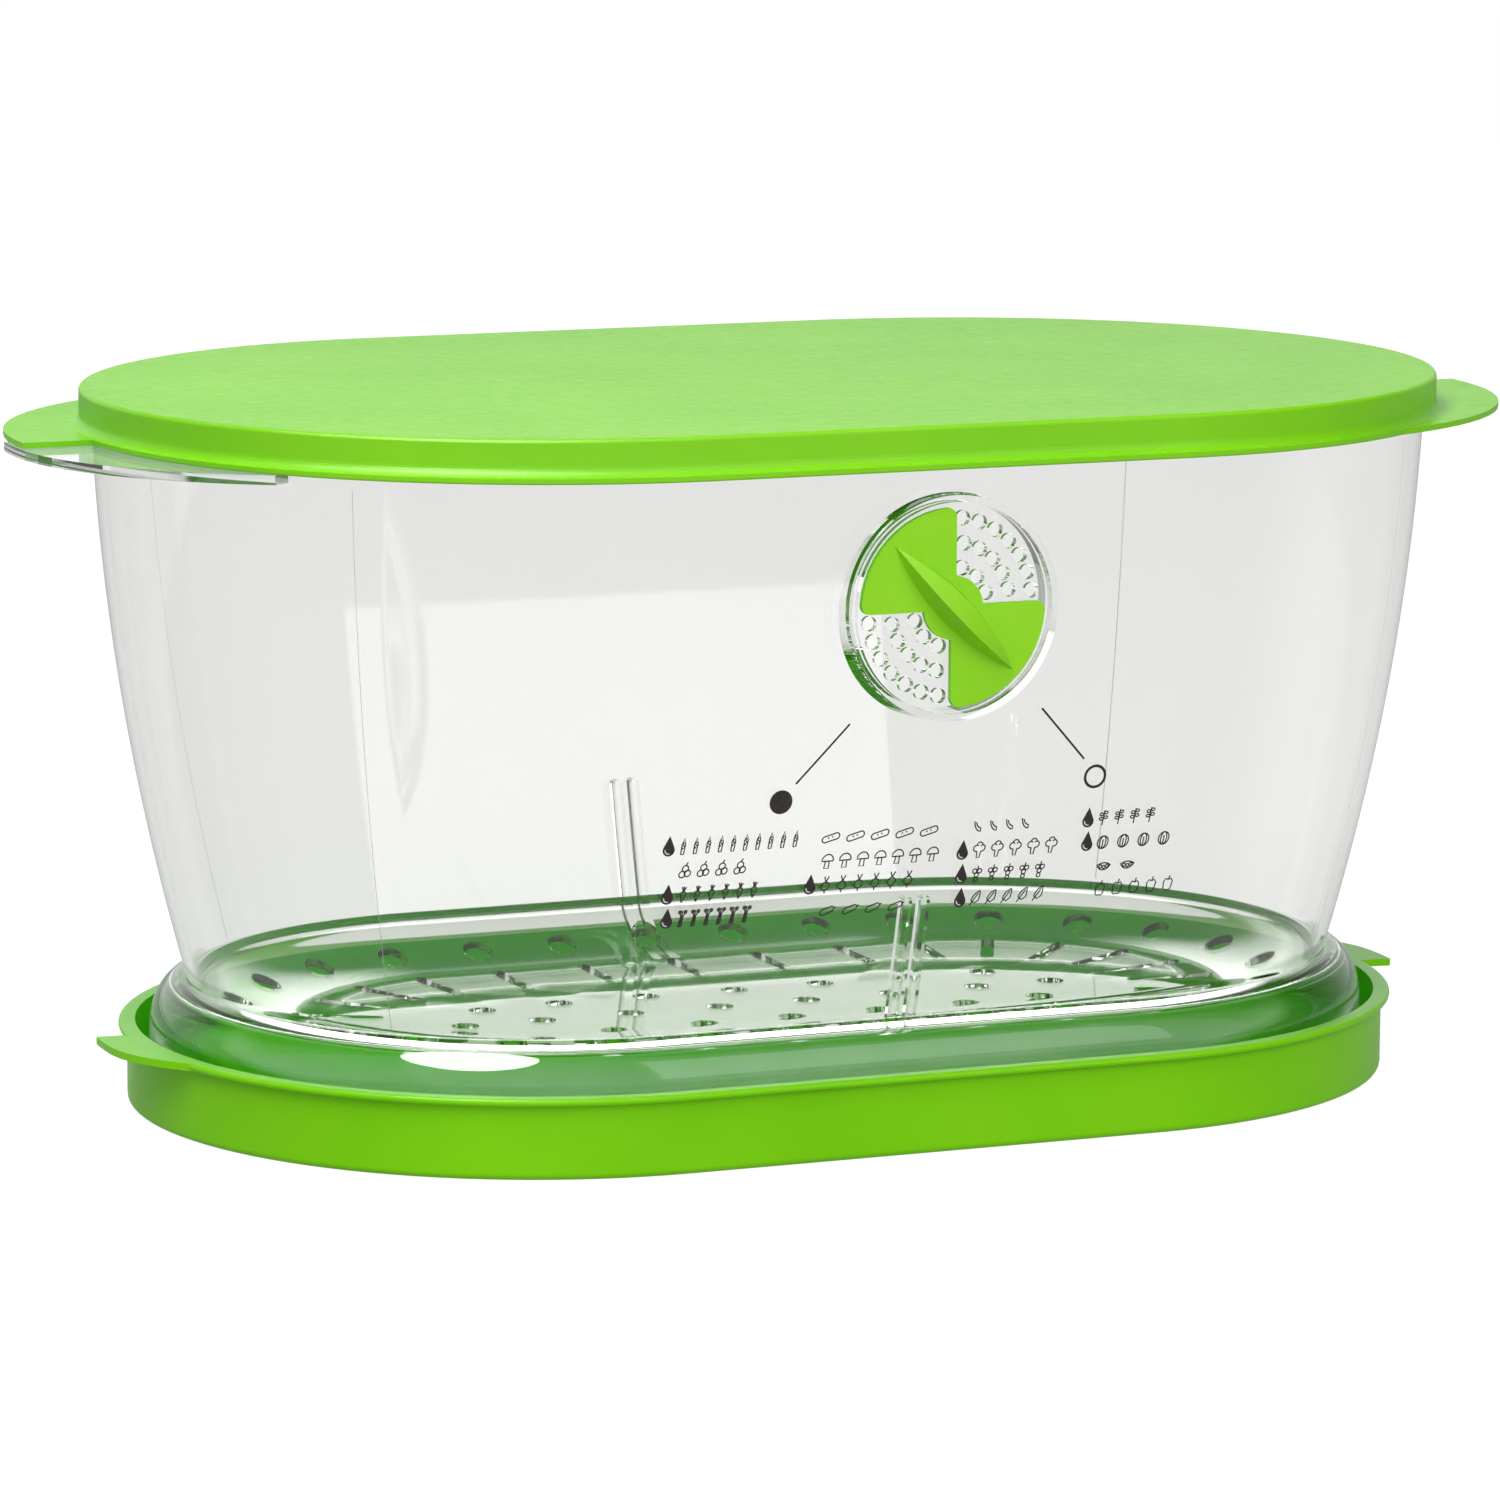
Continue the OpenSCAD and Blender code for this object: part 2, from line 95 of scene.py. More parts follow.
class Nodes:
    """A material's node tree, with short forms for the nodes that the materials share."""

    def __init__(self, name):
        self.mat = bpy.data.materials.new(name)
        self.mat.use_nodes = True
        self.tree = self.mat.node_tree
        self.tree.nodes.clear()
        self.out = self.add("ShaderNodeOutputMaterial")

    def add(self, kind, **values):
        node = self.tree.nodes.new(kind)
        for key, value in values.items():
            if key in node.inputs:
                node.inputs[key].default_value = value
            else:
                setattr(node, key, value)
        return node

    def link(self, a, b):
        self.tree.links.new(a, b)

    def noise(self, scale, detail=3.0):
        coords = self.add("ShaderNodeTexCoord")
        noise = self.add("ShaderNodeTexNoise", Scale=scale, Detail=detail)
        self.link(coords.outputs["Object"], noise.inputs["Vector"])
        return noise.outputs["Fac"]

    def span(self, value, low, high, a=0.3, b=0.7):
        """The value from a to b, stretched to run from low to high. Noise lies mostly in 0.3 to 0.7."""
        node = self.add("ShaderNodeMapRange")
        node.inputs["From Min"].default_value = a
        node.inputs["From Max"].default_value = b
        node.inputs["To Min"].default_value = low
        node.inputs["To Max"].default_value = high
        self.link(value, node.inputs["Value"])
        return node.outputs["Result"]

    def mix_colour(self, fac, a, b):
        node = self.add("ShaderNodeMix", data_type="RGBA")
        self.link(fac, node.inputs["Factor"])
        # Sockets 6, 7 and output 2 are the ones for colours
        node.inputs[6].default_value = a
        node.inputs[7].default_value = b
        return node.outputs[2]

    def bump(self, height, strength, distance):
        node = self.add("ShaderNodeBump", Strength=strength, Distance=distance)
        self.link(height, node.inputs["Height"])
        return node.outputs["Normal"]


PLASTIC_IOR, INK_IOR = 1.49, 1.45
# What the clear plastic lets through: fill light, dimmed and tinted green as painted shade in the tray's
# inside, and rays caught in it for longer than this
FILL_SHADE_TINT = (0.70, 0.94, 0.62, 1)
CAUGHT_TINT = (0.86, 0.95, 0.83, 1)
CAUGHT_AFTER = 7.0


def srgb(r, g, b):
    def lin(v):
        v /= 255
        return v / 12.92 if v <= 0.04045 else ((v + 0.055) / 1.055) ** 2.4
    return (lin(r), lin(g), lin(b), 1.0)


def green_plastic(name, deep, light, rough, grain, sheen=0.3):
    n = Nodes(name)
    shader = n.add("ShaderNodeBsdfPrincipled", IOR=PLASTIC_IOR)
    shader.inputs["Specular IOR Level"].default_value = sheen
    n.link(n.mix_colour(n.span(n.noise(22.0, 4.0), 0, 1), deep, light), shader.inputs["Base Color"])
    n.link(n.span(n.noise(300.0, 2.0), *rough), shader.inputs["Roughness"])
    n.link(n.bump(n.noise(900.0, 2.0), grain, 0.0002), shader.inputs["Normal"])
    n.link(shader.outputs[0], n.out.inputs["Surface"])
    return n.mat


def clear_plastic(name, tint, deep, density):
    n = Nodes(name)
    shader = n.add("ShaderNodeBsdfPrincipled", IOR=PLASTIC_IOR)
    shader.inputs["Transmission Weight"].default_value = 1.0
    hazy = tuple(c * 0.985 for c in tint[:3]) + (1,)
    n.link(n.mix_colour(n.span(n.noise(14.0), 0, 1), tint, hazy), shader.inputs["Base Color"])
    n.link(n.span(n.noise(60.0), 0.01, 0.03), shader.inputs["Roughness"])
    n.link(n.bump(n.noise(26.0, 2.0), 0.02, 0.0006), shader.inputs["Normal"])
    # Light that only fills the inside passes straight through, dimmed and tinted green: painted shade that
    # makes the tray's inside and the lid's underside a deeper green.
    # So does a ray that would stay caught in the wall, which would turn it black.
    path = n.add("ShaderNodeLightPath")
    fill = n.add("ShaderNodeMath", operation="MAXIMUM")
    n.link(path.outputs["Is Shadow Ray"], fill.inputs[0])
    n.link(path.outputs["Is Diffuse Ray"], fill.inputs[1])
    caught = n.add("ShaderNodeMath", operation="GREATER_THAN")
    n.link(path.outputs["Ray Depth"], caught.inputs[0])
    caught.inputs[1].default_value = CAUGHT_AFTER
    surface = shader.outputs[0]
    # The fill light's tint paints shade, so the tray's inside comes out darker and a deeper green.
    for when, colour in ((fill, FILL_SHADE_TINT), (caught, CAUGHT_TINT)):
        mix = n.add("ShaderNodeMixShader")
        n.link(when.outputs[0], mix.inputs[0])
        n.link(surface, mix.inputs[1])
        n.link(n.add("ShaderNodeBsdfTransparent", Color=colour).outputs[0], mix.inputs[2])
        surface = mix.outputs[0]
    n.link(surface, n.out.inputs["Surface"])
    volume = n.add("ShaderNodeVolumeAbsorption", Color=deep, Density=density)
    n.link(volume.outputs[0], n.out.inputs["Volume"])
    return n.mat


def ink(name, deep, light):
    n = Nodes(name)
    shader = n.add("ShaderNodeBsdfPrincipled", IOR=INK_IOR)
    n.link(n.mix_colour(n.span(n.noise(400.0), 0, 1), deep, light), shader.inputs["Base Color"])
    n.link(n.span(n.noise(700.0), 0.35, 0.5), shader.inputs["Roughness"])
    n.link(n.bump(n.noise(1500.0), 0.05, 0.00005), shader.inputs["Normal"])
    n.link(shader.outputs[0], n.out.inputs["Surface"])
    return n.mat


def seam(name, deep, light, alpha):
    n = Nodes(name)
    shader = n.add("ShaderNodeBsdfPrincipled", IOR=PLASTIC_IOR)
    n.link(n.mix_colour(n.span(n.noise(90.0), 0, 1), deep, light), shader.inputs["Base Color"])
    n.link(n.span(n.noise(300.0), 0.2, 0.35), shader.inputs["Roughness"])
    n.link(n.bump(n.noise(900.0), 0.05, 0.00005), shader.inputs["Normal"])
    shader.inputs["Alpha"].default_value = alpha
    n.link(shader.outputs[0], n.out.inputs["Surface"])
    return n.mat


LID = green_plastic("lid_green", srgb(114, 192, 4), srgb(123, 199, 12), (0.36, 0.44), grain=0.02)
TRAY = green_plastic("tray_green", srgb(114, 198, 2), srgb(123, 204, 8), (0.28, 0.33), grain=0.015, sheen=0.16)
DIAL = green_plastic("dial_green", srgb(134, 206, 20), srgb(142, 211, 30), (0.30, 0.40), grain=0.05)
CLEAR = clear_plastic("clear_wall", srgb(253, 253, 252), deep=srgb(200, 203, 198), density=16.0)
INK = ink("print_ink", srgb(38, 30, 30), srgb(52, 44, 42))
PALE_INK = ink("pale_ink", srgb(196, 196, 192), srgb(212, 212, 208))
SEAM = seam("seam_trace", srgb(150, 154, 150), srgb(178, 182, 176), alpha=0.6)


# The clear bin again with smooth curves: the same form as the node, in fine steps.
# Cutters reach PAST the face they cut, a guide's rib starts well inside the room, and the vent's boss
# reaches back into the wall.
PAST = 1
GUIDE_FROM = 20
VENT_REACH = VENT_PROUD + VENT_D / 4


def plan_solid(profile, ends=80, runs=10):
    """Closed solid of a profile of (r, z) rings round the plan, capped at both ends."""
    stations = []
    for side in (1, -1):
        for i in range(ends + 1):
            a = math.pi * i / ends
            stations.append((side * END, side * math.sin(a), -side * math.cos(a)))
        for i in range(1, runs):
            stations.append((side * END * (1 - 2 * i / runs), 0.0, float(side)))
    bm = bmesh.new()
    rings = [[bm.verts.new((x + r * ux, r * uy, z)) for x, ux, uy in stations] for r, z in profile]
    n = len(stations)
    for low, high in zip(rings, rings[1:]):
        for i in range(n):
            j = (i + 1) % n
            bm.faces.new((low[i], low[j], high[j], high[i]))
    bm.faces.new(rings[0][::-1])
    bm.faces.new(rings[-1])
    return bm


def prism(outline, z0, z1, place):
    """Closed solid of a flat outline between two heights, then put in place."""
    bm = bmesh.new()
    low = [bm.verts.new((x, y, z0)) for x, y in outline]
    high = [bm.verts.new((x, y, z1)) for x, y in outline]
    bm.faces.new(low[::-1])
    bm.faces.new(high)
    for i in range(len(outline)):
        j = (i + 1) % len(outline)
        bm.faces.new((low[i], low[j], high[j], high[i]))
    bm.transform(place)
    return bm


def cone(r0, r1, z0, z1, place, steps=96):
    """Closed cone or cylinder between two heights, then put in place."""
    bm = bmesh.new()
    turns = [2 * math.pi * i / steps for i in range(steps)]
    rings = [[bm.verts.new((r * math.cos(a), r * math.sin(a), z)) for a in turns]
             for r, z in ((r0, z0), (r1, z1))]
    bm.faces.new(rings[0][::-1])
    bm.faces.new(rings[1])
    for i in range(steps):
        j = (i + 1) % steps
        bm.faces.new((rings[0][i], rings[0][j], rings[1][j], rings[1][i]))
    bm.transform(place)
    return bm


def together(parts):
    """One mesh of several, which are used up."""
    bm = bmesh.new()
    for part in parts:
        mesh = bpy.data.meshes.new("part")
        part.to_mesh(mesh)
        part.free()
        bm.from_mesh(mesh)
        bpy.data.meshes.remove(mesh)
    return bm


def combine(target, tool, how):
    """Boolean of two closed solids; the tool is used up."""
    solids = []
    for bm in (target, tool):
        mesh = bpy.data.meshes.new("solid")
        bm.to_mesh(mesh)
        bm.free()
        obj = bpy.data.objects.new("solid", mesh)
        bpy.context.scene.collection.objects.link(obj)
        solids.append(obj)
    step = solids[0].modifiers.new("step", "BOOLEAN")
    step.solver = "MANIFOLD"
    step.operation = how
    step.object = solids[1]
    bpy.context.view_layer.update()
    seen = solids[0].evaluated_get(bpy.context.evaluated_depsgraph_get())
    out = bmesh.new()
    out.from_mesh(seen.to_mesh())
    seen.to_mesh_clear()
    for obj in solids:
        mesh = obj.data
        bpy.data.objects.remove(obj)
        bpy.data.meshes.remove(mesh)
    return out


def arc(cx, cz, rx, rz, start=0, stop=360, n=14):
    """Points along part of an ellipse round (cx, cz), in n steps from one angle to another in degrees."""
    turns = [math.radians(start + (stop - start) * i / n) for i in range(n + 1)]
    return [(cx + rx * math.cos(a), cz + rz * math.sin(a)) for a in turns]


def wall_rings(inset, steps=72):
    heights = [WAIST_Z + (WALL_TOP_Z - WAIST_Z) * i / steps for i in range(1, steps + 1)]
    return [(wall_r(z) - inset, z) for z in heights]


def bin_space(inset):
    """The room inside the bin, drawn in from its wall by the inset."""
    return plan_solid(arc(BOWL_R, WAIST_Z, MARGIN - inset, BOWL_HIGH, -90, 0, 32)
                      + wall_rings(WALL + inset) + [(MOUTH_R - WALL - inset, LIP_Z + PAST)])


def vent_place(out):
    """Turns a solid's +Z to the front, on the vent's axis, at a distance out from the bin's middle."""
    return Matrix.Translation((0, -out, VENT_Z)) @ Matrix.Rotation(math.pi / 2, 4, "X")


def slot_outline():
    r = SLOT_W / 2
    turns = [math.pi * i / 12 for i in range(13)]
    far = [(r * math.cos(a), SLOT_TO - r + r * math.sin(a)) for a in turns]
    near = [(-r * math.cos(a), SLOT_FROM + r - r * math.sin(a)) for a in turns]
    return far + near


def along_path(distance, r):
    """Place at a distance along a ring r from the plan's middle line, from the middle of one side."""
    turn = max(0.0, abs(distance) - END) / r
    side = math.copysign(1, distance)
    return Matrix.Translation((side * min(abs(distance), END), 0, 0)) @ Matrix.Rotation(-side * turn, 4, "Z")


def half_turn(side):
    return Matrix.Rotation(math.pi * side, 4, "Z")


def drains():
    """Cutters of the floor's holes and slots: an outer ring, an inner ring and the middle line."""
    pitch = 2 * (2 * END + math.pi * DRAIN_RING) / DRAINS
    last = math.floor(END / pitch) * pitch
    inner = (2 * (END - last) + math.pi * DRAIN_ROW) / (END_HOLES + 1)
    cuts = []

    def hole(place, y, d):
        cuts.append(cone(d / 2, d / 2, FOOT_Z, WAIST_Z, place @ Matrix.Translation((0, y, 0)), 32))

    for side in (0, 1):
        half = half_turn(side)
        for i in range(DRAINS // 2):
            place = half @ along_path((i - (DRAINS // 2 - 1) / 2) * pitch, DRAIN_RING)
            hole(place, DRAIN_RING, RING_HOLE)
            cuts.append(prism(slot_outline(), FOOT_Z, WAIST_Z, place))
        for i in range(round(2 * last / pitch) + 1):
            hole(half @ along_path(-last + i * pitch, DRAIN_ROW), DRAIN_ROW, INNER_HOLE)
        for i in range(1, END_HOLES + 1):
            hole(half @ along_path(last + i * inner, DRAIN_ROW), DRAIN_ROW, INNER_HOLE)
        for i in range(math.floor(END / pitch + 0.5)):
            hole(half @ Matrix.Translation(((i + 0.5) * pitch, 0, 0)), 0, INNER_HOLE)
    return together(cuts)


def tab_outline(steps=32):
    """The tab at one end: at full reach up to the end's middle, then drawn in, and rooted in the wall."""
    turns = [TAB_FROM + TAB_TURN * i / steps for i in range(steps + 1)]
    outline = []
    for a in turns:
        swept = math.cos(math.radians(90 * min(1, a / TAB_SWEEP)))
        r = TAB_R if a < 0 else MOUTH_R + (TAB_R - MOUTH_R) * swept
        outline.append((END + r * math.cos(math.radians(a)), r * math.sin(math.radians(a))))
    root = MOUTH_R - WALL / 2
    for a in turns[::-1]:
        outline.append((END + root * math.cos(math.radians(a)), root * math.sin(math.radians(a))))
    return outline


def guide_ribs():
    """Two pairs of upright ribs with round tops, cut back to follow the wall."""
    ribs = []
    half = GUIDE_RIB / 2
    arch = arc(0, GUIDE_TOP - half, half, half, 0, 180, 16)
    for side in (0, 1):
        for rib in (-1, 1):
            place = (half_turn(side) @ Matrix.Translation((rib * (GUIDE_SLOT + GUIDE_RIB) / 2, 0, 0))
                     @ Matrix.Rotation(math.pi / 2, 4, "X"))
            ribs.append(prism(arch + [(-half, FOOT_Z), (half, FOOT_Z)], GUIDE_FROM, MOUTH_R, place))
    return combine(together(ribs), bin_space(GUIDE_DEPTH), "DIFFERENCE")


def vent_cuts(face):
    """Cutters of the vent: the recess in front, the way in behind, the grille's holes and the stem's bore."""
    inner = VENT_D / 2 - VENT_RING
    back = face - GRILLE_DEPTH - GRILLE_T
    cuts = [cone(inner, inner, 0, GRILLE_DEPTH + PAST, vent_place(face - GRILLE_DEPTH)),
            cone(inner, inner, 0, back - face + VENT_REACH + PAST, vent_place(face - VENT_REACH - PAST))]
    r = GRILLE_HOLE / 2
    for quarter in (0, 180):
        for row, (count, first) in enumerate(GRILLE_ARCS):
            out = inner - GRILLE_MARGIN - row * GRILLE_STEP
            for i in range(count):
                a = math.radians(quarter + first + (90 - 2 * first) * i / (count - 1))
                place = vent_place(back) @ Matrix.Translation((out * math.cos(a), out * math.sin(a), 0))
                cuts.append(cone(r, r, -PAST, GRILLE_T + PAST, place, 32))
    cuts.append(cone(STEM_BORE / 2, STEM_BORE / 2, -PAST, GRILLE_T + PAST, vent_place(back), 32))
    return cuts


def clear_bin():
    outer = plan_solid([(SKIRT_R, FOOT_Z)]
                       + arc(WAIST_R, BEND_Z, SKIRT_R - WAIST_R, WAIST_Z - BEND_Z, 0, 90, 24)
                       + wall_rings(0) + [(MOUTH_R, LIP_Z - LIP_ROUND)]
                       + arc(MOUTH_R - LIP_ROUND, LIP_Z - LIP_ROUND, LIP_ROUND, LIP_ROUND, 15, 90, 5))
    face = wall_r(VENT_Z) + VENT_PROUD
    spread = VENT_REACH * math.tan(math.radians(VENT_DRAFT))
    boss = cone(VENT_D / 2 + spread, VENT_D / 2, 0, VENT_REACH, vent_place(face - VENT_REACH))
    outer = combine(outer, boss, "UNION")
    for side in (0, 1):
        outer = combine(outer, prism(tab_outline(), TAB_Z, TAB_Z + TAB_T, half_turn(side)), "UNION")
    space = combine(bin_space(0), guide_ribs(), "DIFFERENCE")
    body = combine(outer, space, "DIFFERENCE")
    # The hollow under the floor: inside of the skirt, round crotch, underside of the bowl
    inside = SKIRT_R - WALL
    under = arc(BOWL_R, WAIST_Z, MARGIN + FLOOR_T, BOWL_HIGH + FLOOR_T, 0, -90, 40)
    below = ([(inside, FOOT_Z - PAST), (inside, FOOT_Z)]
             + arc(CROTCH_R - CROTCH_FILLET, CROTCH_Z - CROTCH_FILLET, CROTCH_FILLET, CROTCH_FILLET, 0, 90, 8)
             + [p for p in under if p[1] < CROTCH_Z - 0.05])
    body = combine(body, plan_solid(below), "DIFFERENCE")
    for cut in [drains()] + vent_cuts(face):
        body = combine(body, cut, "DIFFERENCE")
    body.transform(Matrix.Scale(MM, 4))
    obj = new_object("clear_bin", body)
    obj.data.set_sharp_from_angle(angle=math.radians(32))
    obj.data.materials.append(CLEAR)
    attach(obj, "keeper")
    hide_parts("bin")


def dress(node, material):
    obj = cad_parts[node]
    obj.data.materials.clear()
    obj.data.materials.append(material)


dress("lid", LID)
dress("tray", TRAY)
clear_bin()
dress("vent_dial", DIAL)


# Longest piece of a stroke, so that it follows the wall
STROKE_STEP = 1.5


class Print:
    """Print on the wall, at a small distance off it: strokes are ribbons and fills are flat faces."""

    def __init__(self, out):
        self.bm = bmesh.new()
        self.out = out

    def stroke(self, points, width, closed=False):
        pts = [Vector(p) for p in points]
        if closed:
            pts.append(pts[0])
        fine = [pts[0]]
        for a, b in zip(pts, pts[1:]):
            steps = max(1, int((b - a).length / STROKE_STEP))
            fine += [a.lerp(b, i / steps) for i in range(1, steps + 1)]
        left, right = [], []
        for i, p in enumerate(fine):
            a = fine[i - 1] if i else (fine[-2] if closed else p)
            b = fine[i + 1] if i + 1 < len(fine) else (fine[1] if closed else p)
            d = (b - a).normalized()
            side = Vector((-d.y, d.x)) * width / 2
            left.append(self.bm.verts.new(on_wall(*(p + side), self.out)))
            right.append(self.bm.verts.new(on_wall(*(p - side), self.out)))
        for i in range(len(fine) - 1):
            self.bm.faces.new((right[i], right[i + 1], left[i + 1], left[i]))

    def fill(self, points):
        verts = [self.bm.verts.new(on_wall(s, z, self.out)) for s, z in points]
        bmesh.ops.triangulate(self.bm, faces=[self.bm.faces.new(verts)])

    def done(self, name, material):
        bmesh.ops.recalc_face_normals(self.bm, faces=self.bm.faces[:])
        obj = new_object(name, self.bm, smooth=False)
        obj.data.materials.append(material)
        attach(obj, "keeper")


def drop(cx, cz, h):
    """Outline of a water drop of height h, standing on (cx, cz)."""
    r = 0.3 * h
    return [(cx + 0.02 * h, cz + h)] + arc(cx, cz + r, r, r, 30, -210, 16)


# Distances off the wall, and widths of the lines, in millimetres
INK_OUT, SHINE_OUT, SEAM_OUT = 0.06, 0.09, 0.02
LEADER_W, RING_W, ICON_W, SEAM_W = 0.5, 0.7, 0.34, 0.22
marks = Print(INK_OUT)
shine = Print(SHINE_OUT)
# Two leader lines, with a filled disc for closed and a ring for open
marks.stroke([(-22.2, 104.1), (-34.8, 90.4)], LEADER_W)
marks.stroke([(27.1, 105.0), (39.3, 91.9)], LEADER_W)
marks.fill(arc(-38.2, 86.2, 2.9, 2.9, n=28)[:-1])
marks.stroke(arc(42.6, 87.4, 2.6, 2.6, n=28)[:-1], RING_W, closed=True)

# Small produce pictograms: the width of each one's cell, and its lines in a cell one unit high
ICONS = {
    "spear": (0.5, [
        [(.16, 0), (.14, .6), (.25, 1), (.36, .6), (.34, 0), (.16, 0)],
        [(.15, .3), (.27, .42)], [(.35, .45), (.22, .58)], [(.15, .6), (.27, .74)]]),
    "berry": (0.8, [
        arc(.25, .25, .2, .2), arc(.58, .3, .2, .2), arc(.4, .6, .2, .2), [(.4, .8), (.5, 1)]]),
    "carrot": (0.7, [
        [(.3, 0), (.12, .55), (.2, .66), (.42, .66), (.5, .55), (.3, 0)], [(.3, .66), (.18, 1)],
        [(.3, .66), (.32, 1)], [(.3, .66), (.46, .95)], [(.18, .42), (.3, .44)]]),
    "stalk": (0.6, [
        [(.14, 0), (.2, .6), (.1, .95)], [(.36, 0), (.34, .6), (.46, .95)], [(.14, 0), (.36, 0)],
        [(.25, .05), (.27, 1)], arc(.1, .9, .09, .1, n=8), arc(.46, .9, .09, .1, n=8)]),
    "cucumber": (1.25, [
        arc(.25, .3, .2, .2, 90, 270, 8) + arc(.95, .5, .2, .2, -90, 90, 8) + [(.25, .5)],
        [(.4, .38), (.5, .4)], [(.65, .45), (.75, .47)]]),
    "mushroom": (0.95, [
        arc(.42, .45, .38, .42, 0, 180, 12) + [(.8, .45)], [(.3, .45), (.27, 0), (.57, 0), (.54, .45)]]),
    "radish": (0.8, [
        arc(.35, .38, .26, .26), [(.35, .12), (.38, -.08)], [(.35, .64), (.2, 1)], [(.35, .64), (.5, 1)]]),
    "zucchini": (1.2, [
        [(.1, .12), (.3, .02), (.95, .3), (1.0, .5), (.85, .6), (.2, .38), (.1, .12)],
        [(.95, .45), (1.1, .55)]]),
    "bean": (0.9, [
        arc(.55, .95, .55, .8, 190, 265, 8) + arc(.55, .85, .42, .48, 262, 192, 8)]),
    "broccoli": (0.9, [
        arc(.22, .6, .18, .2, 40, 290, 9), arc(.42, .78, .2, .2, 0, 180, 8),
        arc(.62, .6, .18, .2, -110, 140, 9), [(.3, .42), (.34, 0), (.52, 0), (.55, .42)]]),
    "grapes": (0.75, [
        arc(.18, .66, .14, .14, n=9), arc(.5, .66, .14, .14, n=9), arc(.34, .4, .14, .14, n=9),
        arc(.34, .13, .13, .13, n=9), [(.34, .7), (.38, 1)]]),
    "leaf": (0.8, [
        arc(.7, .15, .62, .75, 100, 165, 8) + [(.1, .3), (.35, .12), (.6, .3), (.62, .62), (.58, .9)],
        [(.05, 0), (.5, .75)]]),
    "herb": (0.8, [
        [(.35, 0), (.35, .95)], arc(.2, .42, .13, .09, n=8), arc(.5, .5, .13, .09, n=8),
        arc(.2, .7, .13, .09, n=8), arc(.48, .8, .12, .09, n=8)]),
    "lettuce": (0.95, [
        arc(.4, .42, .36, .4), arc(.4, .42, .2, .4, 90, 270, 8), arc(.4, .42, .2, .4, -90, 90, 8),
        [(.4, .02), (.4, .6)]]),
    "pod": (1.2, [
        arc(.55, .75, .5, .6, 205, 335, 10), arc(.55, .1, .62, .5, 40, 140, 8),
        arc(.35, .38, .1, .1, n=8), arc(.57, .34, .1, .1, n=8), arc(.78, .4, .1, .1, n=8)]),
    "pepper": (0.85, [
        [(.38, .72), (.2, .8), (.08, .6), (.14, .15), (.27, .02), (.38, .1), (.5, .02), (.63, .15),
         (.69, .6), (.56, .8), (.38, .72)], [(.38, .72), (.44, 1)]]),
}
# Where each column starts along the wall, and its rows: pictogram, length, and 1 where a drop stands first
COLUMNS = (
    (-65.0, (("spear", 33, 1), ("berry", 20, 0), ("carrot", 23, 1), ("stalk", 21, 1))),
    (-29.0, (("cucumber", 33, 0), ("mushroom", 33, 0), ("radish", 27, 1), ("zucchini", 25, 0))),
    (10.0, (("bean", 18, 0), ("broccoli", 25, 1), ("grapes", 22, 1), ("leaf", 22, 1))),
    (42.5, (("herb", 18, 1), ("lettuce", 23, 1), ("pod", 14, 0), ("pepper", 24, 0))),
)
ROW_Z = (75.1, 69.2, 63.3, 57.4)
# Each row starts a little further right than the one above, and the pictograms lean to the right
ROW_SHIFT, LEAN = 0.35, 0.12
TALL, DROP_TALL, AFTER_DROP, ICON_GAP = 3.9, 5.0, 1.5, 1.1
for start, rows in COLUMNS:
    for row, (z0, (kind, length, wet)) in enumerate(zip(ROW_Z, rows)):
        s0 = start + ROW_SHIFT * (row + 1)
        if wet:
            marks.fill(drop(s0 - 0.9, z0 - 0.3, DROP_TALL))
            # A crescent on the drop's left, between two arcs
            shine.fill(arc(s0 - 0.9, z0 + 1.2, 1.05, 1.05, 170, 285)
                       + arc(s0 - 0.7, z0 + 1.4, 1.0, 1.0, 275, 180))
        wide, strokes = ICONS[kind]
        room = length - AFTER_DROP
        count = max(2, round(room / (wide * TALL + ICON_GAP)))
        for k in range(count):
            left = s0 + AFTER_DROP + k * room / count
            for line in strokes:
                marks.stroke([(left + (x + LEAN * z) * TALL, z0 + z * TALL) for x, z in line], ICON_W)
marks.done("print_marks", INK)
shine.done("print_shine", PALE_INK)

# The four fine traces that the mould's joints leave on the outer wall, half way round each corner
seams = Print(SEAM_OUT)
SEAM_FROM, SEAM_TO, SEAM_STEPS = WAIST_Z + 1, LIP_Z - 11, 40
for side in (-1, 1):
    for turn in (45, 135):
        heights = [SEAM_FROM + (SEAM_TO - SEAM_FROM) * i / SEAM_STEPS for i in range(SEAM_STEPS + 1)]
        seams.stroke([(side * (END + math.radians(turn) * wall_r(z)), z) for z in heights], SEAM_W)
seams.done("mould_seams", SEAM)


# Stage. The floor's own light for the camera, for diffuse and reflected rays, and more for refracted ones
FLOOR_SEEN, FLOOR_DULL, FLOOR_THROUGH = 0.93, 0.32, 0.45
FLOOR_GREY = (0.16, 0.16, 0.16, 1)
# The world's light: a sweep in front and at the rear, the least in reflections and through the wall, the
# sweep and the band through the wall, and the fill of diffuse rays from the left and the right
SWEEP_FRONT, SWEEP_REAR = 0.06, 0.77
LEAST_SEEN, LEAST_THROUGH = 0.04, 0.12
SWEEP_THROUGH, BAND_THROUGH = 1.5, 2.4
FILL_LEFT, FILL_RIGHT = 0.43, 0.27


